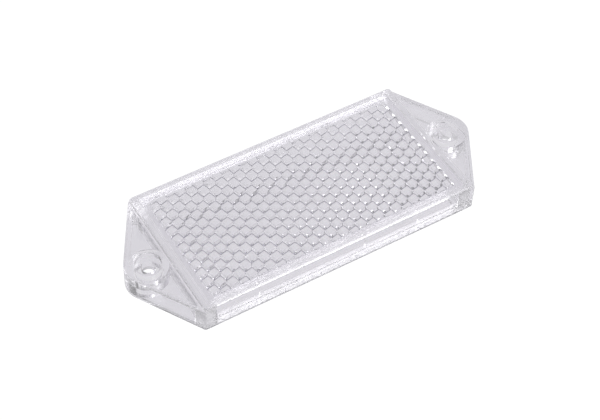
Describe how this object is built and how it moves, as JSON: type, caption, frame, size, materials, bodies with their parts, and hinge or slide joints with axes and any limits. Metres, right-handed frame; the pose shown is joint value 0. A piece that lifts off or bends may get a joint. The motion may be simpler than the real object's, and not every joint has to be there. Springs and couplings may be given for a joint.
{
  "type": "reflex reflector",
  "caption": "Clear screw-on reflex reflector: a long hexagonal housing with a screw lug at each end, a cube-corner prism lens and a back plate.",
  "frame": {"origin": "centre of the mounting face, the flat underside of the back plate", "axes": "+X along the length, through both screw holes; +Y across the width; +Z out of the lens, the way it reflects"},
  "size_m": [0.1252, 0.05, 0.0105],
  "materials": {
    "clear_housing": "polished clear injection-moulded plastic, colourless",
    "clear_prism": "optically polished clear plastic with a flat face and cube-corner prisms behind it",
    "clear_back": "clear plastic with a plain moulded surface, welded round its edge"
  },
  "bodies": {
    "root": {"lens_housing": "clear_housing", "prism_lens": "clear_prism", "back_plate": "clear_back"}
  },
  "joints": []
}
